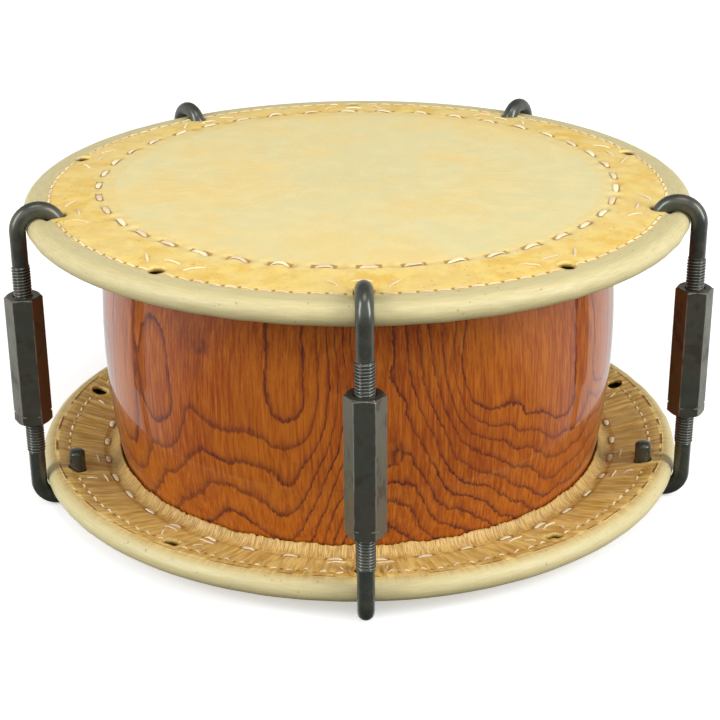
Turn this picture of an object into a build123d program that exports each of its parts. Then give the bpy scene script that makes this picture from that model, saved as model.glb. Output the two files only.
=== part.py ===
from build123d import *
from math import asin, atan2, cos, degrees, hypot, radians, sin, sqrt, tan
import os

# A bolt-tensioned drum. A barrel-shaped wooden shell stands between two heads. Each head is
# one rawhide folded over an iron ring and sewn to itself, and reaches well past the shell.
# Five turnbuckles around the outside pull the two rings together and so tighten both heads.
#
# Sizes are in millimetres and angles in degrees. The frame has +Z up the drum's axis and
# -Y through the front turnbuckle, and z = 0 is the plane that the lower hooks stand on.
# Head sections are drawn as (r, u): r from the drum's axis, and u from the plane of the
# head's ring, positive towards the outside of the drum.

# ---------------------------------------------------------------- shell
shell_h = 150.0  # mouth to mouth
belly_r = 138.0  # outside, at mid-height
bulge = 7.3  # how much further out the belly is than the barrel curve at the mouth
wall_t = 15.0  # at mid-height
neck_t = 11.7  # at the foot of the mouth bevel, to the barrel curve at the mouth
crest_in = 5.2  # the flat crest that carries the head, its inner edge from that curve
crest_out = 3.2  # and its outer edge
bevel_h = 7.0  # height of the bevel inside the mouth
mouth_round = 3.2  # height of the rounding outside the crest

# ---------------------------------------------------------------- heads
ring_out = 31.1  # centre line of the iron ring, outward from the belly
ring_bar_r = 3.75
ring_play = 0.05  # between the ring and the hide folded over it
wrap_t = 2.1  # hide where it is stretched over the ring
membrane_t = 2.8  # hide over the mouth
flap_t = 2.6  # hide that is turned back under
head_past_crest = 0.15  # the head lies flat this far past the crest, then slopes away
ring_drop = 8.05  # playing face down to the ring's centre plane
knee_out = 7.0  # the flap's crease, outward from the shell
knee_u = 1.5
lip_gap = 0.4  # between the flap's turned edge and the shell
lip_t = 1.0  # the turned edge at its cut end
lip_drop = 4.3  # how far the turned edge reaches past the crease
hole_count = 10
hole_play = 0.6  # round the hook that goes through
free_hole_shift = 1.0  # the five free holes lie this much nearer the ring

# ---------------------------------------------------------------- sewing
seam_count = 40  # running stitches round the head
seam_out = 5.8  # from the barrel curve at the mouth
seam_shift = 4.5  # the seam's circle lies this much towards the back
seam_size = (10.5, 3.0, 0.9)  # along the seam, across it, and proud of the hide
flap_seam_size = (8.5, 3.0, 0.9)
rim_stitch_inset = 8.1  # the stitches that hold the hide to the ring, inward from it
rim_stitch_w = 4.2  # a row of them is one band, this wide
rim_stitch_t = 0.7
rim_stitch_clear = 6.4  # no row nearer than this to a hole's centre
eye_stitch_size = (7.0, 1.6, 0.8)  # the three stitches at each hole
eye_seam_in = 10.2  # the middle one, inward from the hole's centre
eye_side_in = 8.0  # the slanted ones
eye_side_turn = 5.4  # and their angle round the drum from the hole
eye_side_slant = 52.0
stitch_lift = 0.04  # a flat dash on a curved hide

# ---------------------------------------------------------------- turnbuckles
bolt_count = 5
front_angle = 270.0
rod_r = 4.2
hook_gap = 0.3  # between a hook and the ring's wrapping
skin_relief = 0.25  # round the hook where it dips through the playing face
leg_l = 14.4  # the hook's leg, past the ring's plane
leg_chamfer = 1.2
thread_r = 4.7625  # three-eighths of an inch, sixteen threads to the inch
thread_pitch = 1.5875
thread_depth = 1.0
thread_l = 44.0
thread_chamfer = 1.0
thread_in_nut = 26.5
thread_play = 0.05
nut_flats = 17.0
nut_l = 70.0
nut_rise = 0.8  # the nuts sit this much above mid-height
nut_chamfer_deg = 30.0
nut_face = 0.96  # flat end's diameter over the width across flats
nut_mouth = 0.8  # countersink at each end
mark_up = 5.0  # groove that marks the left-hand end
mark_w = 1.2
mark_depth = 0.7  # below the corners
nut_turns = (-3.0, -2.6, 14.0, -21.0, 5.8)  # how each nut happens to be turned

# ---------------------------------------------------------------- worked out
half_h = shell_h / 2
mouth_r = belly_r - bulge
bore_r = belly_r - wall_t
neck_r = mouth_r - neck_t
crest_in_r = mouth_r - crest_in
crest_out_r = mouth_r - crest_out
ring_r = belly_r + ring_out
tube_r = ring_bar_r + ring_play + wrap_t
ring_z = half_h + membrane_t - ring_drop
bend_r = tube_r + hook_gap + rod_r
bolt_r = ring_r + bend_r
leg_r = ring_r - bend_r
hole_r = rod_r + hole_play
stand_h = ring_z + bend_r + rod_r
hole_step = 360 / hole_count
bolt_angles = [front_angle + i * 360 / bolt_count for i in range(bolt_count)]
free_angles = [a + hole_step for a in bolt_angles]
barrel_curve = (half_h**2 + bulge**2) / (2 * bulge)


def barrel_r(z):
    """Outer radius of the shell at height z above mid-height."""
    return belly_r - barrel_curve + sqrt(barrel_curve**2 - z**2)


def touch(point, radius, side):
    """Where a line from an (r, u) point touches a circle about the ring's centre.

    side is 1 above the ring and -1 below. The line's angle comes back with the point."""
    away = hypot(ring_r - point[0], point[1])
    angle = atan2(-point[1], ring_r - point[0]) + side * asin(radius / away)
    run = sqrt(away**2 - radius**2)
    return (point[0] + run * cos(angle), point[1] + run * sin(angle)), angle


def spun(*edges):
    """A closed outline of (radius, height) edges, turned about the Z axis."""
    return revolve(make_face(Plane.XZ * (Curve() + list(edges))), axis=Axis.Z)


def turned(points):
    """The same for a closed outline of straight lines."""
    return spun(Polyline(*points, close=True))


def around(shape, angle):
    return Rot(0, 0, angle) * shape


def upper(shape):
    """From mid-height at the origin to the drum's place on its stand plane."""
    return Pos(0, 0, stand_h) * shape


def lower(shape):
    """The same head turned over about the front-to-back axis."""
    return upper(Rot(0, 180, 0) * shape)


# ---------------------------------------------------------------- shell
def make_shell():
    side_z = half_h - mouth_round
    side = (barrel_r(side_z), side_z)
    low_side = (side[0], -side_z)
    crest = [(crest_out_r, half_h), (crest_in_r, half_h), (neck_r, half_h - bevel_h)]
    foot = [(r, -z) for r, z in reversed(crest)]
    return spun(
        ThreePointArc(low_side, (belly_r, 0), side),
        TangentArc(crest[0], side, tangent=(1, 0)),
        Polyline(*crest),
        ThreePointArc(crest[2], (bore_r, 0), foot[0]),
        Polyline(*foot),
        TangentArc(foot[2], low_side, tangent=(1, 0)),
    )


# ---------------------------------------------------------------- heads
shell_here = barrel_r(ring_z)
knee = (shell_here + knee_out, knee_u)
corner_r = crest_out_r + head_past_crest
face_corner = (corner_r, ring_drop)
under_corner = (corner_r, ring_drop - membrane_t)
knee_inside = (knee[0] - flap_t * sin(radians(30)), knee[1] + flap_t)
hide_hole_r = ring_bar_r + ring_play
face_end, face_angle = touch(face_corner, tube_r, 1)
under_end, under_angle = touch(under_corner, hide_hole_r, 1)
flap_end, flap_angle = touch(knee, tube_r, -1)
flap_inside_end, flap_inside_angle = touch(knee_inside, hide_hole_r, -1)


def face_u(r):
    """Height of the playing face at radius r, outside the crest."""
    return ring_drop + (r - corner_r) * tan(face_angle)


def flap_u(r):
    """Height of the flap's open face at radius r."""
    return knee[1] + (r - knee[0]) * tan(flap_angle)


def make_hide():
    """One hide seen in section: over the mouth, round the ring and back to the shell."""
    lip_u = knee_u - lip_drop
    lip_r = barrel_r(ring_z + lip_u) + lip_gap
    turn_r = barrel_r(ring_z + knee_u) + lip_gap + 0.5 * lip_t
    lip = [
        knee,
        (lip_r + 2 * lip_t, 0.35 * knee_u + 0.5 * lip_u),
        (lip_r + lip_t, lip_u),
        (lip_r, lip_u),
        (turn_r, 0.2 * knee_u),
        (turn_r + 1.6 * lip_t, knee_inside[1] - 0.6 * lip_t),
        knee_inside,
    ]
    hide = spun(
        Polyline((0, ring_drop), face_corner, face_end),
        ThreePointArc(face_end, (ring_r + tube_r, 0), flap_end),
        Polyline(flap_end, *lip, flap_inside_end),
        ThreePointArc(flap_inside_end, (ring_r + hide_hole_r, 0), under_end),
        Polyline(under_end, under_corner, (0, under_corner[1]), (0, ring_drop)),
    )
    hide = Pos(0, 0, ring_z) * hide
    drill = Pos(0, 0, ring_z) * Cylinder(hole_r, 6 * tube_r)
    relief = make_bend(rod_r + skin_relief)
    for angle in bolt_angles:
        hide -= around(Pos(leg_r, 0, 0) * drill, angle)
        hide -= around(relief, angle)
    for angle in free_angles:
        hide -= around(Pos(leg_r + free_hole_shift, 0, 0) * drill, angle)
    return hide


def make_ring():
    return Pos(0, 0, ring_z) * Torus(ring_r, ring_bar_r)


# ---------------------------------------------------------------- sewing
def face_stitch(size, r, angle, slant=0.0):
    """A thread lying on the playing face."""
    align = (Align.CENTER, Align.CENTER, Align.MIN)
    dash = Rot(0, 0, slant) * Box(size[1], size[0], size[2], align=align)
    tilt = Rot(0, -degrees(face_angle), 0)
    return around(Pos(r, 0, ring_z + face_u(r) + stitch_lift) * tilt * dash, angle)


def flap_stitch(size, r, angle, slant=0.0):
    """A thread lying on the flap's open face."""
    align = (Align.CENTER, Align.CENTER, Align.MAX)
    dash = Rot(0, 0, slant) * Box(size[1], size[0], size[2], align=align)
    tilt = Rot(0, -degrees(flap_angle), 0)
    return around(Pos(r, 0, ring_z + flap_u(r) - stitch_lift) * tilt * dash, angle)


def make_seam():
    """The running stitch that sews the membrane to the flap, over and under in turn."""
    under_r = knee[0] + 0.5 * flap_seam_size[1] + 0.3
    stitches = []
    for k in range(seam_count):
        over, under = ((k + along) * 360 / seam_count for along in (0.15, 0.65))
        over_r = mouth_r + seam_out + seam_shift * sin(radians(over))
        stitches.append(face_stitch(seam_size, over_r, over))
        stitches.append(flap_stitch(flap_seam_size, under_r, under))
    return Compound(stitches)


def make_rim_stitches():
    """Rows of short radial stitches close inside the ring, from each hole to the next."""
    near, far = (ring_r - rim_stitch_inset + side * rim_stitch_w / 2 for side in (-1, 1))
    clear = degrees(rim_stitch_clear / near)
    rows = []
    for height, lift, thick in (
        (face_u, stitch_lift, rim_stitch_t),
        (flap_u, -stitch_lift, -rim_stitch_t),
    ):
        inside = [(r, ring_z + height(r) + lift) for r in (near, far)]
        outside = [(r, z + thick) for r, z in reversed(inside)]
        band = make_face(Plane.XZ * Polyline(*inside, *outside, close=True))
        row = revolve(band, axis=Axis.Z, revolution_arc=hole_step - 2 * clear)
        rows += [around(row, front_angle + k * hole_step + clear) for k in range(hole_count)]
    return Compound(rows)


def make_eye_stitches():
    """Three stitches beside each hole on both faces, which keep it from tearing inward."""
    stitches = []
    for hole in range(hole_count):
        angle = front_angle + hole * hole_step
        for lay in (face_stitch, flap_stitch):
            stitches.append(lay(eye_stitch_size, leg_r - eye_seam_in, angle))
            for side in (-1, 1):
                place = (leg_r - eye_side_in, angle + side * eye_side_turn)
                stitches.append(lay(eye_stitch_size, *place, side * eye_side_slant))
    return Compound(stitches)


# ---------------------------------------------------------------- turnbuckles
def make_bend(radius):
    """The half circle of a hook over the ring, as a rod of this radius."""
    section = Pos(bolt_r, 0, ring_z) * Circle(radius)
    return revolve(section, axis=Axis((ring_r, 0, ring_z), (0, -1, 0)), revolution_arc=180)


def make_hook():
    """A threaded rod whose plain end is bent over the ring and down through the hide."""
    end_z = nut_l / 2 - thread_in_nut
    top_z = end_z + thread_l
    grooves = int((thread_l - 2 * thread_chamfer) / thread_pitch)
    first = end_z + thread_chamfer
    root_r = thread_r - thread_depth
    zigzag = []
    for k in range(grooves):
        zigzag.append((thread_r, first + k * thread_pitch))
        zigzag.append((root_r, first + (k + 0.5) * thread_pitch))
    crest = (thread_r, first + grooves * thread_pitch)
    shank = turned(
        [(0, end_z), (thread_r - thread_chamfer, end_z), *zigzag, crest]
        + [(rod_r, top_z), (rod_r, ring_z), (0, ring_z)]
    )
    tip_z = ring_z - leg_l
    leg = turned(
        [(0, tip_z), (rod_r - leg_chamfer, tip_z), (rod_r, tip_z + leg_chamfer)]
        + [(rod_r, ring_z), (0, ring_z)]
    )
    return Pos(bolt_r, 0, 0) * shank + make_bend(rod_r) + Pos(leg_r, 0, 0) * leg


def make_nut(turn):
    """A long hexagon nut, right-hand thread above and left-hand below."""
    point_r = nut_flats / sqrt(3)
    face_r = nut_face * nut_flats / 2
    bevel = (point_r - face_r) * tan(radians(nut_chamfer_deg))
    end = nut_l / 2
    hexagon = RegularPolygon(nut_flats / 2, 6, major_radius=False)
    prism = Pos(0, 0, -end) * extrude(hexagon, nut_l)
    blank = turned(
        [(0, -end), (face_r, -end), (point_r, bevel - end)]
        + [(point_r, end - bevel), (face_r, end), (0, end)]
    )
    bore = thread_r + thread_play
    mouth = bore + nut_mouth
    hole = turned(
        [(0, -end), (mouth, -end), (bore, nut_mouth - end)]
        + [(bore, end - nut_mouth), (mouth, end), (0, end)]
    )
    mark_z = mark_up - end
    mark_in = point_r - mark_depth
    mark = turned(
        [(mark_in, mark_z), (nut_flats, mark_z)]
        + [(nut_flats, mark_z + mark_w), (mark_in, mark_z + mark_w)]
    )
    return Rot(0, 0, turn) * ((prism & blank) - hole - mark)


# ---------------------------------------------------------------- the whole drum
hide = make_hide()
ring = make_ring()
seam = make_seam()
rim_stitches = make_rim_stitches()
eye_stitches = make_eye_stitches()
hook = make_hook()
low_hook = Rot(180, 0, 0) * hook

nodes = {"shell": upper(make_shell())}
for side, place in (("upper", upper), ("lower", lower)):
    nodes[f"{side}_ring"] = place(ring)
    nodes[f"{side}_hide"] = place(hide)
    nodes[f"{side}_main_stitches"] = place(seam)
    nodes[f"{side}_rim_stitches"] = place(rim_stitches)
    nodes[f"{side}_hole_stitches"] = place(eye_stitches)
for i, (angle, turn) in enumerate(zip(bolt_angles, nut_turns), 1):
    nodes[f"upper_hook_{i}"] = upper(around(hook, angle))
    spot = around(Pos(bolt_r, 0, 0), angle).position
    nodes[f"nut_{i}"] = upper(Pos(spot.X, spot.Y, nut_rise) * make_nut(turn))
    nodes[f"lower_hook_{i}"] = upper(around(low_hook, angle))

os.makedirs("parts", exist_ok=True)
for name, shape in nodes.items():
    export_step(shape, f"parts/{name}.step")
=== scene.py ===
import math

import bpy
import numpy as np
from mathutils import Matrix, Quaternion, Vector


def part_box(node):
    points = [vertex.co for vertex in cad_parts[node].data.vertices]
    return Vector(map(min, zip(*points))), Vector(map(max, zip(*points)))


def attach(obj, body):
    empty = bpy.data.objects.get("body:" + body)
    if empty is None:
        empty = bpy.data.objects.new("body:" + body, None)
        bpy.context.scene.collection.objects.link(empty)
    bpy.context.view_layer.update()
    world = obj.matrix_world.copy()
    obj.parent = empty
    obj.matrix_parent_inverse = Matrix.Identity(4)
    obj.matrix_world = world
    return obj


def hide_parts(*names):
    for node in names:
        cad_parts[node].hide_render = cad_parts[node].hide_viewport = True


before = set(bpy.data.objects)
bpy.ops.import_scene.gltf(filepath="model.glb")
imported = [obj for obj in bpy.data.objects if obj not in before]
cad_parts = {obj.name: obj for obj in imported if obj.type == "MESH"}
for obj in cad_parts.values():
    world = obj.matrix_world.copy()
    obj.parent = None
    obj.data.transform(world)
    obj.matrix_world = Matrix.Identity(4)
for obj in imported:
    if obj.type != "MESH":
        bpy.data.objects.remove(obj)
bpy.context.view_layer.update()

mm = 0.001
rng = np.random.default_rng(41)

# ---------------------------------------------------------------- the shell
# The shell is one hollow barrel turned from a log of zelkova, so its surface cuts the growth
# rings at a slant and shows them as nested loops. Outside it has a thick clear lacquer.

shell_low, shell_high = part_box("shell")
mid_z = (shell_low.z + shell_high.z) / 2
half_h = (shell_high.z - shell_low.z) / 2
belly_r = shell_high.x
bulge = 7.3 * mm
wall_t = 15 * mm
neck_t = 11.7 * mm
crest_in = 5.2 * mm
crest_out = 3.2 * mm
bevel_h = 7 * mm
mouth_round = 3.2 * mm
mouth_r = belly_r - bulge
bore_r = belly_r - wall_t
neck_r = mouth_r - neck_t
crest_in_r = mouth_r - crest_in
crest_out_r = mouth_r - crest_out


def quads(rows, columns, round_rows, round_columns):
    """Faces of a grid whose point numbers run along its rows: each is the four points (i, j),
    (i, j+1), (i+1, j+1) and (i+1, j). A round direction joins its end to its start."""
    i = np.arange(rows if round_rows else rows - 1)[:, None]
    j = np.arange(columns if round_columns else columns - 1)[None, :]
    below, right = (i + 1) % rows, (j + 1) % columns
    corners = [i * columns + j, i * columns + right, below * columns + right, below * columns + j]
    return np.stack(np.broadcast_arrays(*corners), axis=-1).reshape(-1, 4)


def piece(name, points, faces, finish, body, slot, *nodes):
    """A smooth mesh from point and face arrays, which rides on a body and stands for CAD nodes."""
    mesh = bpy.data.meshes.new(name)
    mesh.from_pydata(points.reshape(-1, 3), [], faces)
    mesh.shade_smooth()
    mesh.materials.append(finish)
    thing = bpy.data.objects.new(name, mesh)
    bpy.context.scene.collection.objects.link(thing)
    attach(thing, body)
    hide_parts(*nodes)
    return thing


def mark(thing, name, values):
    """Stores one number per point of a mesh, for its material to read."""
    layer = thing.data.attributes.new(name, "FLOAT", "POINT")
    layer.data.foreach_set("value", np.asarray(values, np.float32).ravel())


class Value:
    """A shader number. Python's operators on it add Math nodes to its material."""

    def __init__(self, finish, socket):
        self.finish, self.socket = finish, socket

    def math(self, operation, *others):
        return self.finish.add("Math", {"operation": operation}, dict(enumerate((self, *others))))

    def __add__(self, other):
        return self.math("ADD", other)

    def __sub__(self, other):
        return self.math("SUBTRACT", other)

    def __rsub__(self, other):
        return self.finish.add("Math", {"operation": "SUBTRACT"}, {0: other, 1: self})

    def __mul__(self, other):
        return self.math("MULTIPLY", other)

    def __truediv__(self, other):
        return self.math("DIVIDE", other)

    __radd__, __rmul__ = __add__, __mul__


class Finish:
    """A material in the making. add() puts in a node, and set() feeds the surface's sockets."""

    def __init__(self, name):
        self.material = bpy.data.materials.new(name)
        self.material.use_nodes = True
        self.tree = self.material.node_tree
        self.surface = self.tree.nodes["Principled BSDF"]
        self.place = self.add("TexCoord", {}, {}, "Object")

    def feed(self, node, sockets):
        for key, value in sockets.items():
            if isinstance(value, Value):
                self.tree.links.new(value.socket, node.inputs[key])
            else:
                node.inputs[key].default_value = value

    def add(self, kind, settings, sockets, out=0):
        node = self.tree.nodes.new("ShaderNode" + kind)
        for key, value in settings.items():
            setattr(node, key, value)
        self.feed(node, sockets)
        return Value(self, node.outputs[out])

    def step(self, value, low, high, to_low=0.0, to_high=1.0):
        """One end value below low, the other above high, and a smooth change in between."""
        ends = {"From Min": low, "From Max": high, "To Min": to_low, "To Max": to_high}
        return self.add("MapRange", {"interpolation_type": "SMOOTHSTEP"}, {"Value": value, **ends})

    def stretched(self, amounts, vector=None):
        """The place on the object, multiplied axis by axis."""
        sockets = {0: vector or self.place, 1: amounts}
        return self.add("VectorMath", {"operation": "MULTIPLY"}, sockets)

    def noise(self, vector, scale, detail=2.0, rough=0.5):
        sockets = {"Vector": vector, "Scale": scale, "Detail": detail, "Roughness": rough}
        return self.add("TexNoise", {}, sockets, "Fac")

    def stored(self, name):
        """A number that mark() put on the mesh."""
        return self.add("Attribute", {"attribute_name": name}, {}, "Fac")

    def mix(self, factor, first, second):
        """A colour between two others, each a link or three numbers."""
        first, second = (c if isinstance(c, Value) else (*c, 1.0) for c in (first, second))
        return self.add("Mix", {"data_type": "RGBA"}, {0: factor, 6: first, 7: second}, 2)

    def bump(self, height, distance, strength=1.0, under=None):
        sockets = {"Height": height, "Distance": distance, "Strength": strength}
        if under:
            sockets["Normal"] = under
        return self.add("Bump", {}, sockets)

    def set(self, sockets):
        self.feed(self.surface, sockets)
        return self.material


def lacquered_zelkova():
    """Growth rings are level lines of the distance to upright spines in the wall, joined
    smoothly where two meet. Right of a spine the distance grows at a rate of its own, so that
    loops can stay open there. Below a sloping shelf the lines run down to the right. Each ring
    ends in a dark line of open pores, and fibres run up the barrel."""
    wood = Finish("lacquered_zelkova")
    # angle round the drum, lower and upper end above mid-height in mm, growth to the right, tilt
    spines = [(-105, 17, 95, 1.25, 0.12), (-138, 4, 26, 0.9, 0), (-152, -20, 95, 0.8, 0.1)]
    spines += [(-121, 66, 95, 0.8, 0), (-66, 17, 95, 0.25, 0.42), (-54, 4, 95, 0.3, 0.3)]
    spines += [(-45, -6, 70, 0.5, 0.3), (-28, 0, 95, 0.5, 0.3), (2, -30, 40, 0.7, 0.1)]
    spines += [(34, 22, 95, 0.6, 0.3), (66, -10, 95, 0.4, 0.2), (101, 25, 95, 0.7, 0.1)]
    spines += [(132, -20, 50, 0.6, 0.3), (166, 10, 95, 0.5, 0.2)]
    squash = 0.62
    x, y, z = (wood.add("SeparateXYZ", {}, {"Vector": wood.place}, axis) for axis in "XYZ")
    around = y.math("ARCTAN2", x)
    reach = None
    for angle, low, high, lean, tilt in spines:
        off = (around - math.radians(angle)).math("WRAP", math.pi, -math.pi) * belly_r
        height = (off * tilt + z - mid_z) * squash
        ends = {"Min": low * squash * mm, "Max": high * squash * mm}
        gap = height - wood.add("Clamp", {}, {"Value": height, **ends})
        aside = (off * -1).math("MAXIMUM", off * lean)
        away = (aside * aside + gap * gap).math("SQRT")
        reach = reach.math("SMOOTH_MIN", away, 8 * mm) if reach else away
    slope = (x * 0.25 + z - mid_z) * -squash
    shelf = wood.step(x, -60 * mm, 0, 16.5 * mm, 47 * mm)
    shelf = (slope - 11 * mm).math("MAXIMUM", 0) + shelf
    reach = reach.math("SMOOTH_MIN", shelf, 10 * mm)
    sway = wood.noise(wood.stretched((1, 1, 0.55)), 20.0, 1.0)
    bend = wood.noise(wood.stretched((1, 1, 0.8)), 62.0, 2.0, 0.55)
    tremble = wood.noise(wood.stretched((1, 1, 0.9)), 240.0, 2.0, 0.6)
    hair = wood.noise(wood.stretched((1, 1, 0.07)), 1000.0, 2.0, 0.6)
    depth = reach + (sway - 0.5) * (20 * mm) + (bend - 0.5) * (6 * mm)
    depth = depth + (tremble - 0.5) * (2 * mm) + (hair - 0.5) * (2.2 * mm)
    rings_per_m = wood.step(x, -38 * mm, -4 * mm, 105, 160)
    rings = (depth * rings_per_m - 0.25).math("MAXIMUM", 0)
    growth = rings.math("FRACT")
    year = wood.add("CombineXYZ", {}, {"X": rings.math("FLOOR") * 0.37, "Y": sway})
    boldness = wood.noise(year, 7.0, 1.0)
    late = wood.step(growth, 0.45, 0.93) * (1 - wood.step(growth, 0.95, 1.0))
    soft = wood.step(growth, 0.66, 0.88) * (1 - wood.step(growth, 0.94, 1.0))
    core = wood.step(growth, 0.78, 0.88) * (1 - wood.step(growth, 0.93, 0.98))
    cloud = wood.noise(wood.stretched((1, 1, 0.7)), 16.0, 3.0)
    fibre = wood.noise(wood.stretched((1, 1, 0.06)), 700.0, 3.0, 0.75)
    pore = wood.noise(wood.stretched((1, 1, 0.06)), 1300.0, 2.0, 0.7)
    comb = wood.step(pore, 0.40, 0.60, 0.45, 1.0)
    tone = wood.mix(wood.step(cloud, 0.38, 0.62), (0.385, 0.098, 0.008), (0.310, 0.066, 0.008))
    tone = wood.mix(wood.step(fibre, 0.42, 0.72) * 0.8, tone, (0.480, 0.150, 0.016))
    tone = wood.mix(wood.step(fibre, 0.52, 0.30) * 0.6, tone, (0.190, 0.036, 0.010))
    tone = wood.mix(late * 0.35, tone, (0.170, 0.036, 0.014))
    strength = wood.step(boldness, 0.35, 0.60, 0.5, 1.0)
    tone = wood.mix(soft * comb * strength * 0.55, tone, (0.105, 0.020, 0.014))
    tone = wood.mix(core * comb * strength * 0.85, tone, (0.062, 0.013, 0.013))
    specks = wood.step(pore, 0.60, 0.72) * (late * 0.4 + 0.22)
    tone = wood.mix(specks, tone, (0.100, 0.020, 0.010))
    wood.set({"Coat Weight": 0.65, "Coat Roughness": 0.03, "Coat IOR": 1.45})
    wood.set({"IOR": 1.3, "Specular IOR Level": 0.25})
    rough = wood.step(fibre, 0.2, 0.8, 0.38, 0.48)
    skin = wood.bump(fibre, 0.02 * mm, 0.35)
    return wood.set({"Base Color": tone, "Roughness": rough, "Normal": skin})


turns = 288
barrel_curve = (half_h**2 + bulge**2) / (2 * bulge)
side_top = half_h - mouth_round
side_z = np.linspace(-side_top, side_top, 61)
side_r = belly_r - barrel_curve + np.sqrt(barrel_curve**2 - side_z**2)
roll = np.linspace(0, np.pi / 2, 8)[1:]
roll_r = crest_out_r + (side_r[-1] - crest_out_r) * np.cos(roll)
roll_z = side_z[-1] + (half_h - side_z[-1]) * np.sin(roll)
inside_z = np.linspace(half_h - bevel_h, bevel_h - half_h, 21)
inside_r = bore_r - (bore_r - neck_r) * (inside_z / inside_z[0]) ** 2
outline_r = np.concatenate([side_r, roll_r, [crest_in_r], inside_r, [crest_in_r], roll_r[::-1]])
outline_z = np.concatenate([side_z, roll_z, [half_h], inside_z, [-half_h], -roll_z[::-1]])
turn = np.arange(turns) * 2 * np.pi / turns
barrel_x = outline_r[:, None] * np.cos(turn)
barrel_y = outline_r[:, None] * np.sin(turn)
barrel_z = np.broadcast_to(mid_z + outline_z[:, None], barrel_x.shape)
barrel = np.stack([barrel_x, barrel_y, barrel_z], axis=-1)
barrel_faces = quads(len(outline_r), turns, True, True)
piece("shell_barrel", barrel, barrel_faces, lacquered_zelkova(), "drum", "lacquered_wood", "shell")

# ---------------------------------------------------------------- the iron rings
# Each head is stretched over a ring of plain round iron, which the hide hides. The rings
# are bent from bar as they are in the CAD model, and only get their finish here.


def ring_iron():
    """Black scale with patches of rust."""
    iron = Finish("forged_ring_iron")
    scale = iron.noise(iron.place, 90.0, 4.0, 0.6)
    tone = iron.mix(iron.step(scale, 0.45, 0.65), (0.045, 0.042, 0.040), (0.13, 0.055, 0.025))
    iron.set({"Metallic": 0.9})
    rough = iron.step(scale, 0.3, 0.7, 0.45, 0.8)
    skin = iron.bump(scale, 0.15 * mm, 0.6)
    return iron.set({"Base Color": tone, "Roughness": rough, "Normal": skin})


iron_finish = ring_iron()
for side in ("upper", "lower"):
    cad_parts[side + "_ring"].data.materials.clear()
    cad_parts[side + "_ring"].data.materials.append(iron_finish)

# ---------------------------------------------------------------- the hides
# Each head is one rawhide. It covers the shell's mouth, goes round the iron ring and comes
# back underneath to the shell, where its cut edge turns against the lacquer. It is punched
# with ten holes, and the sewing through both layers puckers it.

ring_low, ring_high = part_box("upper_ring")
hide_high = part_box("upper_hide")[1]
hook_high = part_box("upper_hook_1")[1]
rod_r = 4.2 * mm
bar_r = (ring_high.z - ring_low.z) / 2
ring_r = ring_high.x - bar_r
ring_z = (ring_high.z + ring_low.z) / 2 - mid_z
tube_r = hide_high.x - ring_r
face_u = hide_high.z - mid_z - ring_z
leg_r = -hook_high.y + rod_r
head_past_crest = 0.15 * mm
knee_out = 7 * mm
face_corner = crest_out_r + head_past_crest
knee_r = belly_r - barrel_curve + math.sqrt(barrel_curve**2 - ring_z**2) + knee_out
knee_u = 1.5 * mm
seam_out = 5.8 * mm
seam_shift = 4.5 * mm
under_seam_r = knee_r + 1.9 * mm
seam_pitch = 2 * np.pi / 40
seam_start = math.radians(1.35)
rim_pitch = 2 * np.pi / 126
face_rim_r = 161.3 * mm
flap_rim_r = 160.6 * mm
front = -np.pi / 2
hole_pitch = 2 * np.pi / 10
columns = 540
patch_r = np.linspace(149.5 * mm, 168 * mm, 12)
patch_half = 6
patch_layers = 6
hole_r = 4.75 * mm
free_hole_shift = 1.0 * mm
disc_part, face_part, roll_part, flap_part, lip_part = range(5)


def ring_touch(r, u, side):
    """Where a line from (r, u) touches the hide round the ring, and the line's slope. Heights
    u are above the ring's centre plane, and side is 1 for the face and -1 for the flap."""
    away = math.hypot(ring_r - r, u)
    angle = math.atan2(-u, ring_r - r) + side * math.asin(tube_r / away)
    run = math.sqrt(away**2 - tube_r**2)
    return r + run * math.cos(angle), math.tan(angle)


face_end_r, face_slope = ring_touch(face_corner, face_u, 1)
flap_slope = ring_touch(knee_r, knee_u, -1)[1]


def hump(x, width):
    """A bell: 1 at x = 0, and e to the minus one where x is the width."""
    return np.exp(-((x / width) ** 2))


def rise(x, low, high):
    """0 below low, 1 above high, smooth in between."""
    t = np.clip((x - low) / (high - low), 0, 1)
    return t * t * (3 - 2 * t)


def waves(count, low, high, drift):
    """Uneven ripples round the drum: the sum of cosines of whole-number frequencies between low
    and high, whose random phases drift as the radius grows. Averages 0 and spreads about 1."""
    many = rng.integers(low, high, count)
    phase = rng.uniform(0, 2 * np.pi, count)
    shift = rng.normal(0, drift, count) / mm

    def ripple(angle, r):
        inside = many * np.asarray(angle)[..., None] + phase + shift * np.asarray(r)[..., None]
        return np.cos(inside).sum(axis=-1) * math.sqrt(2 / count)

    return ripple


def from_nearest(angle, start, pitch):
    """Signed angle from the nearest of the marks that stand one pitch apart."""
    return (angle - start + pitch / 2) % pitch - pitch / 2


def seam_r(angle):
    """The running seam's circle, which lies a little towards the back."""
    return mouth_r + seam_out + seam_shift * np.sin(angle)


def sewn(angle, r):
    """1 between the holes and 0 beside each of them, where the rim stitches stop."""
    return rise(np.abs(from_nearest(angle, front, hole_pitch)) * r, 5.5 * mm, 8 * mm)


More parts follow.
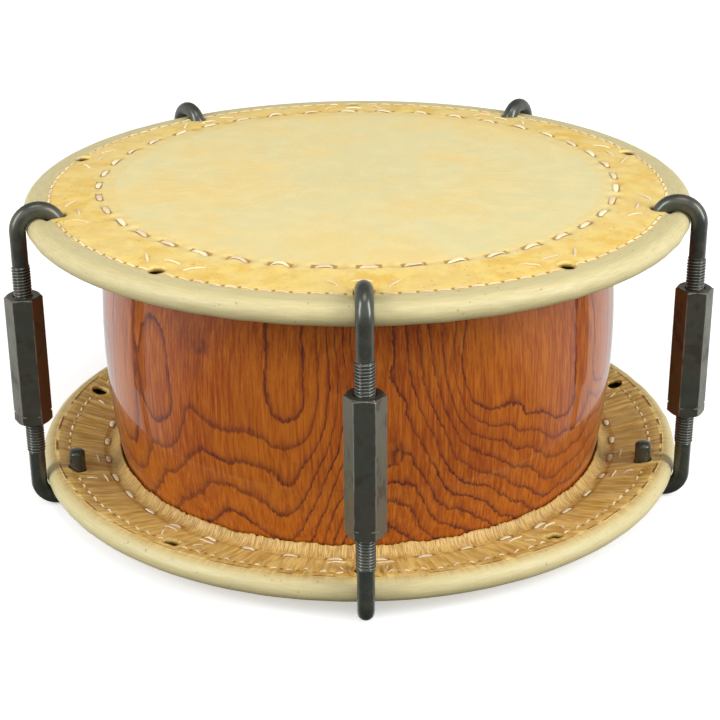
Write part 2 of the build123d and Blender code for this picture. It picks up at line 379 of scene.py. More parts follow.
class Relief:
    """How far one head's hide stands out of its plain cone, as a function of angle and radius,
    on the face and on the flap. Sewing dips it, and between stitches it swells."""

    def __init__(self):
        self.pucker = waves(6, 30, 90, 0.2)
        self.soft = waves(8, 10, 60, 0.25)
        self.pleats = waves(10, 70, 240, 0.10)
        self.broad = waves(6, 20, 60, 0.15)
        self.knots = waves(8, 90, 200, 0.5)

    def face(self, angle, r):
        off = r - seam_r(angle)
        along = from_nearest(angle, front + seam_start, seam_pitch) * r
        lift = -0.30 * mm * hump(off, 1.9 * mm)
        lift = lift - 0.70 * mm * hump(off, 1.7 * mm) * hump(np.abs(along) - 5.4 * mm, 1.6 * mm)
        lift = lift + 0.22 * mm * hump(off, 5 * mm) * self.pucker(angle, r)
        groove = sewn(angle, r)
        lift = lift - 0.60 * mm * hump(r - face_rim_r - 0.3 * mm, 1.5 * mm) * groove
        swell = np.cos(from_nearest(angle, front, rim_pitch) / rim_pitch * 2 * np.pi)
        lift = lift + 0.22 * mm * hump(r - 159.2 * mm, 1.8 * mm) * swell * groove
        wavy = rise(r, 128 * mm, 140 * mm) * (1 - rise(r, 161 * mm, 167 * mm))
        lift = lift + 0.10 * mm * self.soft(angle, r) * wavy
        aside = from_nearest(angle, front, hole_pitch) * r
        rod = from_nearest(angle, front, 2 * hole_pitch) * r
        round_u = np.sqrt(np.clip(tube_r**2 - (r - ring_r) ** 2, 0, None))
        drop = face_u + (r - face_corner) * face_slope - round_u
        press = hump(rod, 5.2 * mm) * rise(r, 162 * mm, 165.5 * mm) * (r < face_end_r)
        lift = lift - np.minimum(drop, 2.2 * mm) * press
        return lift - 0.22 * mm * hump(np.hypot(aside, r - leg_r) - 5.6 * mm, 1.0 * mm)

    def flap(self, angle, r):
        creased = rise(r, 140 * mm, 156 * mm) * (1 - rise(r, 160 * mm, 166 * mm))
        lift = (0.08 + 0.20 * creased) * mm * self.pleats(angle, r) + 0.18 * mm * self.broad(angle, r)
        lift = lift * (1 - rise(r, 160 * mm, 167 * mm))
        lift = lift - 0.35 * mm * hump(r - 140.5 * mm, 1.6 * mm)
        lift = lift - 0.55 * mm * hump(r - flap_rim_r - 0.4 * mm, 1.5 * mm) * sewn(angle, r)
        swell = np.cos(from_nearest(angle, front, rim_pitch) / rim_pitch * 2 * np.pi)
        lift = lift - 0.20 * mm * hump(r - 160 * mm, 2.5 * mm) * swell * sewn(angle, r)
        aside = from_nearest(angle, front, hole_pitch) * r
        torn = 0.40 + 0.15 * self.knots(angle, r)
        return lift + torn * mm * hump(np.hypot(aside, r - leg_r) - 5.2 * mm, 1.1 * mm)


def on_cone(lay, relief, angle, r, above=0.0):
    """Radius and height of a point on the face or the flap, lifted along the cone's normal."""
    if lay == "face":
        corner, slope, out = (face_corner, face_u), face_slope, 1
        lift = relief.face(angle, r) + above
    else:
        corner, slope, out = (knee_r, knee_u), flap_slope, -1
        lift = relief.flap(angle, r) + above
    long = math.hypot(1, slope)
    return r - lift * out * slope / long, corner[1] + (r - corner[0]) * slope + lift * out / long


def in_place(side, radius, height, angle):
    """From a head's own section to the drum. The lower head is the upper one turned over
    about the front-to-back axis."""
    points = np.stack([radius * np.cos(angle), radius * np.sin(angle), ring_z + height], axis=-1)
    return points * (1 if side == "upper" else np.array([-1, 1, -1])) + np.array([0, 0, mid_z])


def hide_section():
    """The hide's outer line from the drum's axis to the cut edge: radius, height, outward
    normal, thickness, and which stretch each point belongs to."""
    disc = np.array([4, 30, 60, 90, 112, 121, 125, 127]) * mm
    cone = np.concatenate([np.linspace(129 * mm, patch_r[0], 19)[:-1], patch_r])
    roll = np.linspace(math.atan(face_slope) + np.pi / 2, math.atan(flap_slope) - np.pi / 2, 19)
    back = np.concatenate([patch_r[::-1], np.linspace(patch_r[0], knee_r, 10)[1:]])
    lip_r = knee_r - np.array([0.8, 1.7, 2.6, 3.4, 4.1, 4.7, 5.2]) * mm
    lip_u = knee_u + np.array([-0.05, -0.3, -0.9, -1.6, -2.5, -3.4, -4.3]) * mm
    r = np.concatenate([disc, cone, ring_r + tube_r * np.cos(roll), back, lip_r])
    u = np.concatenate([
        np.full(len(disc), face_u),
        face_u + (cone - face_corner) * face_slope,
        tube_r * np.sin(roll),
        knee_u + (back - knee_r) * flap_slope,
        lip_u,
    ])
    parts = [disc_part, face_part, roll_part, flap_part, lip_part]
    stretch = np.repeat(parts, [len(disc), len(cone), len(roll), len(back), len(lip_r)])
    step = np.stack([np.gradient(r), np.gradient(u)], axis=-1)
    step /= np.linalg.norm(step, axis=-1, keepdims=True)
    normal = np.stack([-step[:, 1], step[:, 0]], axis=-1)
    thick = np.choose(stretch, [2.8 * mm, 2.8 * mm, 2.0 * mm, 2.3 * mm, 0])
    thick[stretch == face_part] -= 0.8 * mm * rise(cone, 150 * mm, 166 * mm)
    thick[stretch == lip_part] = np.linspace(2.1, 0.9, len(lip_r)) * mm
    return r, u, normal, thick, stretch


def thicken(points, offset, faces, capped):
    """A sheet becomes a closed solid. Its far side is the points plus their offsets, with the
    faces turned over, and each edge that one face alone uses gets a wall. The first points are
    a ring, which one flat face closes on each side."""
    count = len(points)
    edges = np.concatenate([faces[:, [k, (k + 1) % 4]] for k in range(4)])
    name = edges.min(axis=1) * count + edges.max(axis=1)
    _, first, uses = np.unique(name, return_index=True, return_counts=True)
    rim = edges[first[uses == 1]]
    rim = rim[rim.max(axis=1) >= capped]
    walls = np.stack([rim[:, 1], rim[:, 0], rim[:, 0] + count, rim[:, 1] + count], axis=-1)
    both = np.concatenate([faces, faces[:, ::-1] + count, walls]).tolist()
    cap = list(range(capped))
    far_cap = [n + count for n in reversed(cap)]
    return np.concatenate([points, points + offset]), both + [cap, far_cap]


def hole_outline(turn, hooked, lay, number):
    """The edge of a hole, as offsets round and out from its middle. A hook pulls the face's
    holes long, and all of them are a little ragged."""
    ragged = 1 + 0.03 * np.cos(3 * turn + number) + 0.02 * np.cos(7 * turn + 2 * number)
    x, y = hole_r * np.cos(turn) * ragged, hole_r * np.sin(turn) * ragged
    if hooked and lay == "face":
        y = np.where(y > 0, y * 1.42, y)
    return (x, y) if hooked else (x * 0.95, y * 0.95)


def hide_sheet(relief):
    """The hide as one sheet of angle by section, with a round hole let in at each of the ten
    places on the face and on the flap. There, a block of the grid gives way to rings of
    points, which go evenly from the block's border to the hole's edge."""
    r, u, normal, thick, stretch = hide_section()
    rows = len(r)
    angle = front + np.arange(columns) * 2 * np.pi / columns
    round_a = np.broadcast_to(angle, (rows, columns))
    radius = np.repeat(r[:, None], columns, axis=1)
    height = np.repeat(u[:, None], columns, axis=1)
    for part, lay in ((face_part, "face"), (flap_part, "flap")):
        on = stretch == part
        radius[on], height[on] = on_cone(lay, relief, round_a[on], radius[on])
    on = stretch == roll_part
    swell = np.sin(np.linspace(0, np.pi, on.sum()))[:, None]
    lift = 0.08 * mm * relief.soft(round_a[on], height[on]) * swell
    radius[on] += lift * normal[on, :1]
    height[on] += lift * normal[on, 1:]
    on = stretch == lip_part
    share = np.linspace(0.1, 1, on.sum())[:, None]
    frayed = waves(12, 15, 60, 0.0)(angle, angle) * 0.30
    frayed = frayed + waves(9, 110, 260, 0.0)(angle, angle) * 0.26
    height[on] += share**2 * frayed * mm
    radius[on] += share * waves(10, 40, 160, 0.0)(angle, angle) * 0.03 * mm

    faces = quads(rows, columns, False, True)
    keep = np.ones((rows - 1, columns), bool)
    path = np.concatenate([[0], np.cumsum(np.hypot(np.diff(r), np.diff(u)))]) + r[0]
    grids = [(radius, height, round_a, normal[:, None], thick[:, None], path[:, None])]
    new_faces, count = [], rows * columns
    for part, lay in ((face_part, "face"), (flap_part, "flap")):
        inside = (r > patch_r[0] - 0.01 * mm) & (r < patch_r[-1] + 0.01 * mm)
        block = np.flatnonzero((stretch == part) & inside)
        top, bottom = block[0], block[-1]
        for hole in range(10):
            left, right = hole * columns // 10 - patch_half, hole * columns // 10 + patch_half
            keep[top:bottom, np.arange(left, right) % columns] = False
            row = np.concatenate([
                np.full(right - left, top), np.arange(top, bottom),
                np.full(right - left, bottom), np.arange(bottom, top, -1),
            ])
            column = np.concatenate([
                np.arange(left, right), np.full(bottom - top, right),
                np.arange(right, left, -1), np.full(bottom - top, left),
            ])
            hooked = hole % 2 == 0
            middle_r = leg_r if hooked else leg_r + free_hole_shift
            middle_a = front + hole * hole_pitch
            x = (column - hole * columns // 10) * 2 * np.pi / columns * middle_r
            y = r[row] - middle_r
            edge_x, edge_y = hole_outline(np.arctan2(y, x), hooked, lay, hole)
            share = (np.arange(1, patch_layers + 1)[:, None] / patch_layers) ** 0.8
            patch_x, patch_y = x + (edge_x - x) * share, y + (edge_y - y) * share
            patch_a, patch_radius = middle_a + patch_x / middle_r, middle_r + patch_y
            spots = on_cone(lay, relief, patch_a, patch_radius)
            out = normal[top + 3] * np.ones((1, 1, 2))
            reach = path[top] + np.abs(patch_radius - r[top])
            grids.append((*spots, patch_a, out, thick[row] + 0 * patch_x, reach))
            ring = count + np.arange(patch_layers)[:, None] * len(x) + np.arange(len(x))
            ring = np.concatenate([[row * columns + column % columns], ring])
            after = np.roll(ring, -1, axis=1)
            corners = [ring[:-1], after[:-1], after[1:], ring[1:]]
            new_faces.append(np.stack(corners, axis=-1).reshape(-1, 4))
            count += patch_x.size
    flat = [[np.broadcast_to(v, g[0].shape).ravel() for v in (*g[:3], *g[4:])] for g in grids]
    radius, height, angle, thick, reach = (np.concatenate(v) for v in zip(*flat))
    out = np.concatenate([np.broadcast_to(g[3], (*g[0].shape, 2)).reshape(-1, 2) for g in grids])
    faces = np.concatenate([faces[keep.ravel()], *new_faces])[:, ::-1]
    return radius, height, angle, out * thick[:, None], reach, faces


def rawhide():
    """Oiled rawhide. Over the mouth it is pale cream, outside the shell it is ochre and
    mottled, over the ring it is stretched white and smooth, and the flap is golden."""
    hide = Finish("rawhide")
    reach = hide.stored("reach")
    up = hide.add("SeparateXYZ", {}, {"Vector": hide.place}, "Z")
    flat = hide.stretched((1, 1, 0))
    heading = hide.add("VectorMath", {"operation": "NORMALIZE"}, {0: flat})
    along = hide.add("CombineXYZ", {}, {"Z": reach * 0.12})
    sockets = {0: hide.stretched((0.16, 0.16, 0), heading), 1: along}
    radial = hide.add("VectorMath", {"operation": "ADD"}, sockets)
    along = hide.add("CombineXYZ", {}, {"Z": reach + up * 0.3})
    sockets = {0: hide.stretched((0.012, 0.012, 0), heading), 1: along}
    ringwise = hide.add("VectorMath", {"operation": "ADD"}, sockets)
    cloud = hide.noise(hide.place, 22.0, 3.0, 0.6)
    mottle = hide.noise(hide.place, 85.0, 4.0, 0.65)
    grain = hide.noise(hide.place, 900.0, 3.0, 0.6)
    pleat = hide.noise(radial, 420.0, 3.0, 0.6)
    streak = hide.noise(ringwise, 1400.0, 3.0, 0.6)
    speck = hide.noise(hide.place, 420.0, 1.0)
    drift = hide.noise(hide.stretched((0.9, 1.1, 1)), 10.0, 6.0, 0.7)
    disc = hide.mix(hide.step(drift, 0.40, 0.60), (0.72, 0.64, 0.32), (0.80, 0.61, 0.235))
    disc = hide.mix(hide.step(mottle, 0.38, 0.70) * 0.45, disc, (0.80, 0.68, 0.35))
    disc = hide.mix(hide.step(grain, 0.45, 0.70) * 0.20, disc, (0.60, 0.45, 0.18))
    ochre = hide.mix(hide.step(mottle, 0.40, 0.62), (0.80, 0.59, 0.17), (0.72, 0.47, 0.10))
    ochre = hide.mix(hide.step(cloud, 0.42, 0.62) * 0.5, ochre, (0.76, 0.60, 0.25))
    white = hide.mix(hide.step(streak, 0.30, 0.75), (0.53, 0.455, 0.225), (0.61, 0.53, 0.28))
    # The flap's golden tone follows the same pleat noise that raises its wrinkles: painted shade in their
    # valleys and painted highlight on their crests.
    golden = hide.mix(hide.step(pleat, 0.35, 0.65), (0.50, 0.29, 0.055), (0.76, 0.54, 0.17))
    golden = hide.mix(hide.step(mottle, 0.45, 0.7) * 0.4, golden, (0.64, 0.45, 0.16))
    fringe = hide.noise(radial, 1500.0, 3.0, 0.6)
    fibrous = hide.mix(hide.step(fringe, 0.35, 0.65), (0.33, 0.18, 0.035), (0.64, 0.43, 0.14))
    tone = hide.mix(hide.step(reach + (mottle - 0.5) * 0.004, 0.1265, 0.1285) * 0.35, disc, ochre)
    tone = hide.mix(hide.step(reach + (mottle - 0.5) * 0.008, 0.133, 0.141), tone, ochre)
    tone = hide.mix(hide.step(reach + (mottle - 0.5) * 0.003, 0.1610, 0.1640), tone, white)
    fold = face_reach_end + 2.9 * tube_r
    tone = hide.mix(hide.step(reach, fold - 4 * mm, fold + 5 * mm), tone, golden)
    turned_in = flap_reach_end
    border = reach + (pleat - 0.5) * 0.003
    tone = hide.mix(hide.step(border, turned_in - 1.5 * mm, turned_in + 1 * mm), tone, fibrous)
    dark = hide.step(speck, 0.71, 0.76) * hide.step(mottle, 0.35, 0.5)
    dark = dark * hide.step(reach, 128 * mm, 135 * mm)
    tone = hide.mix(dark * 0.45, tone, (0.22, 0.12, 0.04))
    x, y = (hide.add("SeparateXYZ", {}, {"Vector": hide.place}, axis) for axis in "XY")
    around = y.math("ARCTAN2", x * (up - mid_z).math("SIGN"))
    r = (x * x + y * y).math("SQRT")
    flap = hide.step(reach, fold - 1 * mm, fold)

    def from_marks(start, pitch):
        """Distance round the drum from the nearest of the marks, which are one pitch apart."""
        return (around - start).math("WRAP", pitch / 2, -pitch / 2) * r

    def dash(along, off, half_l, half_w):
        """1 on a stitch of that half length and half width, and 0 a little way off it. The thread covers
        the middle, so what shows is a painted shadow round the stitch.
        """
        past = (along.math("ABSOLUTE") - half_l).math("MAXIMUM", off.math("ABSOLUTE") - half_w)
        return hide.step(past, 0.1 * mm, 0.75 * mm, 1.0, 0.0)

    along = from_marks(front + seam_start, seam_pitch)
    seam_off = r - mouth_r - seam_out - (y / r) * seam_shift
    face_dash = dash(along, seam_off, 5.6 * mm, 1.45 * mm) * (1 - flap)
    along = from_marks(front + seam_start + seam_pitch / 2, seam_pitch)
    flap_dash = dash(along, r - under_seam_r, 4.5 * mm, 1.4 * mm)
    knot = from_marks(front, rim_pitch)
    off_rim = r - face_rim_r + flap * (face_rim_r - flap_rim_r)
    knot = (knot * knot + off_rim * off_rim).math("SQRT")
    hole_spot = hide.step(knot, 0.5 * mm, 1.3 * mm, 1.0, 0.0)
    clear = hide.step(from_marks(front, hole_pitch).math("ABSOLUTE"), 5.5 * mm, 7 * mm)
    # Painted shadow: a dark brown outline round each lace stitch, and dark spots where the rim stitches
    # go into the hide.
    stitch_shadow = (face_dash + flap_dash * flap + hole_spot * clear).math("MINIMUM", 1.0)
    tone = hide.mix(stitch_shadow * 0.75, tone, (0.25, 0.12, 0.03))
    # Painted shade in the dip that the sewing presses into the hide along the seam.
    groove = 1 - hide.step(hide.stored("groove"), 0.0, 1.0)
    tone = hide.mix(groove * 0.45, tone, (0.42, 0.24, 0.06))
    skin = hide.bump(grain, 0.05 * mm, 0.5)
    skin = hide.bump(mottle, 0.35 * mm, 0.35, skin)
    strength = hide.step(reach, fold, fold + 10 * mm, 0.15, 1.0)
    strength = strength * hide.step(reach, turned_in - 4 * mm, turned_in, 1.0, 0.10)
    crease = hide.noise(radial, 150.0, 3.0, 0.65)
    skin = hide.bump((pleat + crease * 2.0) * strength, 1.1 * mm, 0.6, skin)
    skin = hide.bump(fringe * hide.step(reach, turned_in - 3 * mm, turned_in), 0.4 * mm, 0.6, skin)
    hide.set({"IOR": 1.5, "Subsurface Weight": 0.08, "Subsurface Scale": 1.5 * mm})
    rough = hide.step(mottle, 0.3, 0.7, 0.42, 0.58)
    return hide.set({"Base Color": tone, "Roughness": rough, "Normal": skin})


section_r, section_u, _, _, section_part = hide_section()
section_path = np.cumsum(np.hypot(np.diff(section_r), np.diff(section_u))) + section_r[0]
face_reach_end = section_path[np.flatnonzero(section_part == face_part)[-1]]
flap_reach_end = section_path[np.flatnonzero(section_part == flap_part)[-1] - 1]
hide_finish = rawhide()
reliefs = {"upper": Relief(), "lower": Relief()}
for side, relief in reliefs.items():
    radius, height, angle, out, reach, faces = hide_sheet(relief)
    skin = in_place(side, radius, height, angle)
    inner = in_place(side, radius - out[:, 0], height - out[:, 1], angle)
    points, faces = thicken(skin, inner - skin, faces, columns)
    name, node = side + "_head_hide", side + "_hide"
    hide_piece = piece(name, points, faces, hide_finish, "drum", "rawhide", node)
    mark(hide_piece, "reach", np.tile(reach, 2))
    # Painted shade: how deep the hide dips round the seam, from 1 where it lies level to 0 at 0.9 mm
    # down, for the material to darken.
    depth = np.where(np.abs(reach - seam_r(angle)) < 6 * mm, relief.face(angle, radius), 0)
    shade = np.clip(1 + depth / (0.9 * mm), 0, 1)
    mark(hide_piece, "groove", np.tile(shade, 2))

# ---------------------------------------------------------------- the sewing
# Both layers of each head are sewn together with white thread: a flat lace runs over and under
# just outside the shell, a back stitch holds the hide close inside the ring, and three
# stitches beside each hole keep it from tearing.


def sew(side, lay, start, end, width, thick, bow=0.0):
    """Threads that lie on a hide, one for each (angle, radius) pair in start and end. A thread is
    an oval tube along the line between its ends. It thins out and dives into the hide at both."""
    stations, around = 9, 8
    t = np.linspace(0, 1, stations)
    start, end = np.asarray(start)[:, None], np.asarray(end)[:, None]
    angle = start[..., 0] + (end[..., 0] - start[..., 0]) * t
    r = start[..., 1] + (end[..., 1] - start[..., 1]) * t + bow * np.sin(np.pi * t)
    body = (1 - np.abs(2 * t - 1) ** 2.4) ** 0.6
    above = thick * (0.55 * body - 0.75 * (1 - body))
    points = in_place(side, *on_cone(lay, reliefs[side], angle, r, above), angle)
    raised = in_place(side, *on_cone(lay, reliefs[side], angle, r, above + mm), angle)
    up = raised - points
    up /= np.linalg.norm(up, axis=-1, keepdims=True)
    run = np.gradient(points, axis=1)
    across = np.cross(run, up)
    across /= np.linalg.norm(across, axis=-1, keepdims=True)
    turn = np.arange(around) * 2 * np.pi / around
    wide = (width / 2 * np.maximum(body, 0.25))[:, None] * np.cos(turn)
    tall = (thick / 2 * np.maximum(body, 0.4))[:, None] * np.sin(turn)
    tube = points[:, :, None] + across[:, :, None] * wide[..., None] + up[:, :, None] * tall[..., None]
    one = quads(stations, around, False, True)[:, ::-1]
    first = np.arange(len(points))[:, None, None] * stations * around
    walls = (first + one).reshape(-1, 4).tolist()
    ends = np.arange(around)
    last = first[:, 0] + (stations - 1) * around
    caps = (first[:, 0] + ends).tolist() + (last + ends[::-1]).tolist()
    return tube.reshape(-1, 3), walls + caps, np.tile(np.repeat(t, around), len(points))


def join_sewing(*parts):
    """One mesh's points and faces from several."""
    points, faces, along = [], [], []
    for part_points, part_faces, part_along in parts:
        shift = sum(len(p) for p in points)
        points.append(part_points)
        faces += [[n + shift for n in face] for face in part_faces]
        along.append(part_along)
    return np.concatenate(points), faces, np.concatenate(along)


def waxed_thread():
    """Twisted cotton, waxed: cream, a little pink where it has rubbed, and with a painted shade at the
    ends, where it sinks into the hide.
    """
    thread = Finish("waxed_thread")
    along = thread.stored("along")
    twist = thread.noise(thread.place, 1300.0, 2.0)
    tint = thread.noise(thread.place, 40.0, 2.0)
    tone = thread.mix(thread.step(tint, 0.4, 0.6), (0.82, 0.73, 0.48), (0.68, 0.53, 0.33))
    tone = thread.mix(thread.step(twist, 0.35, 0.7) * 0.4, tone, (0.62, 0.46, 0.28))
    # Painted shade at both ends, where the thread sinks into the hide.
    tip = (along - 0.5).math("ABSOLUTE")
    tone = thread.mix(thread.step(tip, 0.38, 0.5) * 0.6, tone, (0.45, 0.27, 0.10))
    rough = thread.step(twist, 0.3, 0.7, 0.5, 0.75)
    skin = thread.bump(twist, 0.25 * mm, 0.7)
    thread.set({"Sheen Weight": 0.15})
    return thread.set({"Base Color": tone, "Roughness": rough, "Normal": skin})


thread_finish = waxed_thread()
lace_at = front + seam_start + np.arange(40) * seam_pitch
rim_at = front + (np.arange(126) + 0.5) * rim_pitch
off_hole = np.abs(from_nearest(rim_at, front, hole_pitch)) * flap_rim_r
rim_at = rim_at[off_hole > 6.6 * mm]
holes_at = front + np.arange(10) * hole_pitch


def jitter(count, spread):
    """Small differences between hand-made stitches."""
    return rng.normal(0, spread, count)


def ends_at(angle, r):
    """One end of each stitch as an (angle, radius) pair."""
    return np.stack(np.broadcast_arrays(angle, r), axis=-1)


def beside_holes(angle_1, r_1, angle_2, r_2):
    """The same stitch at all ten holes: its ends, as degrees from the hole and millimetres."""
    first_at = holes_at + np.radians(angle_1) + jitter(10, 0.003)
    first_r = r_1 * mm + jitter(10, 0.35 * mm)
    last_at = holes_at + np.radians(angle_2) + jitter(10, 0.003)
    last_r = r_2 * mm + jitter(10, 0.35 * mm)
    return ends_at(first_at, first_r), ends_at(last_at, last_r)


for side in ("upper", "lower"):
    reach = 5.4 * mm / seam_r(lace_at) + jitter(40, 0.0015)
    over_r = seam_r(lace_at) + jitter(40, 0.25 * mm)
    over_end_r = over_r + jitter(40, 0.3 * mm)
    over = ends_at(lace_at - reach, over_r), ends_at(lace_at + reach, over_end_r)
    reach = 4.3 * mm / knee_r + jitter(40, 0.002)
    under_r = under_seam_r + jitter(40, 0.3 * mm)
    under_at = lace_at + seam_pitch / 2
    under = ends_at(under_at - reach, under_r), ends_at(under_at + reach, under_r)
    lace = join_sewing(
        sew(side, "face", *over, 3.0 * mm, 0.95 * mm),
        sew(side, "flap", *under, 2.9 * mm, 0.95 * mm),
    )
    count = len(rim_at)
    half = rim_pitch * 0.47
    slant = 0.35 * mm
    top_end_r = face_rim_r + slant + jitter(count, 0.12 * mm)
    top = ends_at(rim_at - half, face_rim_r - slant), ends_at(rim_at + half, top_end_r)
    half = 2.0 * mm / flap_rim_r
    low_start_r = flap_rim_r + jitter(count, 0.25 * mm)
    low_end_r = flap_rim_r + jitter(count, 0.25 * mm)
    low = ends_at(rim_at - half, low_start_r), ends_at(rim_at + half, low_end_r)
    rim = join_sewing(
        sew(side, "face", *top, 1.15 * mm, 0.8 * mm),
        sew(side, "flap", *low, 1.3 * mm, 0.8 * mm),
    )
    eyes = join_sewing(
        sew(side, "face", *beside_holes(-7.1, 147.0, -3.7, 154.5), 1.3 * mm, 0.8 * mm),
        sew(side, "face", *beside_holes(7.1, 147.0, 3.7, 155.0), 1.3 * mm, 0.8 * mm),
        sew(side, "face", *beside_holes(-2.4, 148.4, 2.2, 148.8), 1.4 * mm, 0.8 * mm),
        sew(side, "flap", *beside_holes(-6.0, 146.2, -1.8, 146.0), 1.3 * mm, 0.8 * mm),
        sew(side, "flap", *beside_holes(3.0, 146.0, 7.5, 146.4), 1.3 * mm, 0.8 * mm),
        sew(side, "flap", *beside_holes(-4.6, 150.5, -3.6, 156.5), 1.2 * mm, 0.8 * mm),
        sew(side, "flap", *beside_holes(4.6, 150.5, 3.6, 156.5), 1.2 * mm, 0.8 * mm),
    )
    for kind, node, (points, faces, along) in (
        ("seam_lace", "main_stitches", lace),
        ("rim_thread", "rim_stitches", rim),
        ("hole_thread", "hole_stitches", eyes),
    ):
        sewing = piece(f"{side}_{kind}", points, faces, thread_finish, "drum", "thread", f"{side}_{node}")
        mark(sewing, "along", along)

# ---------------------------------------------------------------- the hooks
# Each hook is a blackened steel rod. One end is rolled with a thread, right-hand on the upper
# hooks and left-hand on the lower ones, and the other is bent over the ring and goes down
# through the hide.

thread_r = 4.7625 * mm
thread_pitch = 1.5875 * mm
thread_depth = 1.0 * mm
thread_l = 44 * mm
thread_in_nut = 26.5 * mm
nut_l = 70 * mm
bend_r = ring_r - leg_r
bolt_r = ring_r + bend_r
bolts_at = front + np.arange(5) * 2 * np.pi / 5


def blackened_steel():
    """Hot-blackened rod: nearly black with a green cast, rubbed bright on the thread's crests."""
    steel = Finish("blackened_rod")
    bloom = steel.noise(steel.place, 120.0, 3.0, 0.6)
    draw = steel.noise(steel.stretched((1, 1, 0.08)), 1500.0, 2.0)
    tone = steel.mix(steel.step(bloom, 0.4, 0.65), (0.052, 0.061, 0.049), (0.080, 0.074, 0.056))
    brightened = steel.step(steel.stored("brightened"), 0.55, 1.0)
    tone = steel.mix(brightened * 0.7, tone, (0.20, 0.20, 0.18))
    rough = steel.step(bloom, 0.3, 0.7, 0.18, 0.30) + draw * 0.05
    skin = steel.bump(draw, 0.02 * mm, 0.3)
    steel.set({"Metallic": 0.4, "IOR": 1.6})
    return steel.set({"Base Color": tone, "Roughness": rough, "Normal": skin})


def hook_sheet(hand):
    """A rod's skin as angle by distance along its line: up the shank, round the half circle
    over the ring and down the leg. On the thread its radius rises and falls once a turn of the
    helix, and hand is 1 for a right-hand thread and -1 for a left-hand one."""
    around = 32
    end_z = nut_l / 2 - thread_in_nut
    top_z = end_z + thread_l
    thread_z = np.arange(end_z, top_z, thread_pitch / 8)
    shank_z = np.concatenate([[end_z], thread_z, np.linspace(top_z, ring_z, 8)])
    bend = np.linspace(0, np.pi, 33)[1:]
    leg_down = np.array([4, 8, 12, 13.2, 13.5, 13.9, 14.2, 14.4, 14.4]) * mm
    leg_taper = np.array([0, 0, 0, 0, 0.25, 0.65, 1.0, 1.3, 4.1]) * mm
    shank_x, leg_x = np.full(len(shank_z), bolt_r), np.full(len(leg_down), leg_r)
    x = np.concatenate([shank_x, ring_r + bend_r * np.cos(bend), leg_x])
    z = np.concatenate([shank_z, ring_z + bend_r * np.sin(bend), ring_z - leg_down])
    lean = np.concatenate([np.zeros(len(shank_z)), bend, np.full(len(leg_down), np.pi)])
    phi = np.arange(around) * 2 * np.pi / around
    lift = z[:, None] / thread_pitch - hand * phi / (2 * np.pi)
    tooth = np.abs(2 * (lift % 1) - 1)
    tooth = np.clip((tooth - 0.12) / 0.76, 0, 1)
    threaded = (lean == 0) & (z < top_z)
    runs_out = rise(z, top_z - 1.6 * mm, top_z)
    fade = rise(z, end_z + 0.4 * mm, end_z + 1.6 * mm) * (1 - runs_out) * threaded
    core = np.where(threaded, thread_r - thread_depth, rod_r)
    core = core + np.where(threaded, runs_out * (rod_r - thread_r + thread_depth), 0)
    r = core[:, None] + thread_depth * tooth * fade[:, None]
    r[-len(leg_down) :] -= leg_taper[:, None]
    r[0] = 0.4 * mm
    across = r * np.cos(phi)
    x = x[:, None] + across * np.cos(lean)[:, None]
    z = z[:, None] + across * np.sin(lean)[:, None]
    points = np.stack([x, r * np.sin(phi), z], axis=-1)
    brightened = tooth * fade[:, None]
    faces = quads(len(z), around, False, True).tolist()
    first, last = list(range(around)), list(range((len(z) - 1) * around, len(z) * around))
    return points, faces + [first[::-1], last], brightened


def spin(points, angle):
    """Points turned about the drum's axis."""
    x, y, z = np.moveaxis(points, -1, 0)
    turned_x = x * math.cos(angle) - y * math.sin(angle)
    turned_y = x * math.sin(angle) + y * math.cos(angle)
    return np.stack([turned_x, turned_y, z], axis=-1)


rod_finish = blackened_steel()
for side, hand in (("upper", 1), ("lower", -1)):
    points, faces, brightened = hook_sheet(hand)
    if side == "lower":
        points = points * np.array([1, -1, -1])
    for number, angle in enumerate(bolts_at, 1):
        turned = spin(points, angle) + np.array([0, 0, mid_z])
        node = f"{side}_hook_{number}"
        hook = piece(f"{side}_hook_rod_{number}", turned, faces, rod_finish, node, "black_steel", node)
        mark(hook, "brightened", brightened)

# ---------------------------------------------------------------- the nuts
# Five long hexagon nuts join the upper hooks to the lower ones. They are cut from bar, turned
# to a chamfer at both ends, and grooved near the left-hand end. Their corners and chamfer
# edges are painted bright: partly wear from hands and spanners, partly a painted highlight.

nut_flats = 17 * mm
nut_rise = 0.8 * mm
nut_face_r = 0.96 * nut_flats / 2
nut_bore_r = thread_r + 0.05 * mm
nut_mouth = 0.8 * mm
point_round = 0.45 * mm
nut_turns = (-3.0, -2.6, 14.0, -21.0, 5.8)


def gunmetal_wear_and_edge_highlight():
    """Grey steel with patches of brown and green tarnish, milling lines, and bright edges that are partly
    wear and partly a painted highlight.
    """
    steel = Finish("gunmetal_wear_and_edge_highlight")
    bloom = steel.noise(steel.place, 45.0, 3.0, 0.6)
    patch = steel.noise(steel.place, 90.0, 3.0, 0.6)
    mill = steel.noise(steel.stretched((1, 1, 0.03)), 2600.0, 2.0)
    tone = steel.mix(steel.step(bloom, 0.42, 0.6), (0.175, 0.166, 0.132), (0.146, 0.168, 0.133))
    tone = steel.mix(steel.step(patch, 0.5, 0.68) * 0.7, tone, (0.100, 0.062, 0.045))
    # Lighter corners and chamfer edges: partly wear, partly a painted highlight where the edges would
    # catch the light.
    edge_wear_and_highlight = steel.stored("brightened") * steel.step(patch, 0.25, 0.6, 0.55, 1.0)
    tone = steel.mix(steel.step(edge_wear_and_highlight, 0.55, 1.0) * 0.8, tone, (0.40, 0.38, 0.33))
    rough = steel.step(patch, 0.3, 0.7, 0.30, 0.44) + mill * 0.08
    skin = steel.bump(mill, 0.03 * mm, 0.35)
    steel.set({"Metallic": 0.9})
    return steel.set({"Base Color": tone, "Roughness": rough, "Normal": skin})


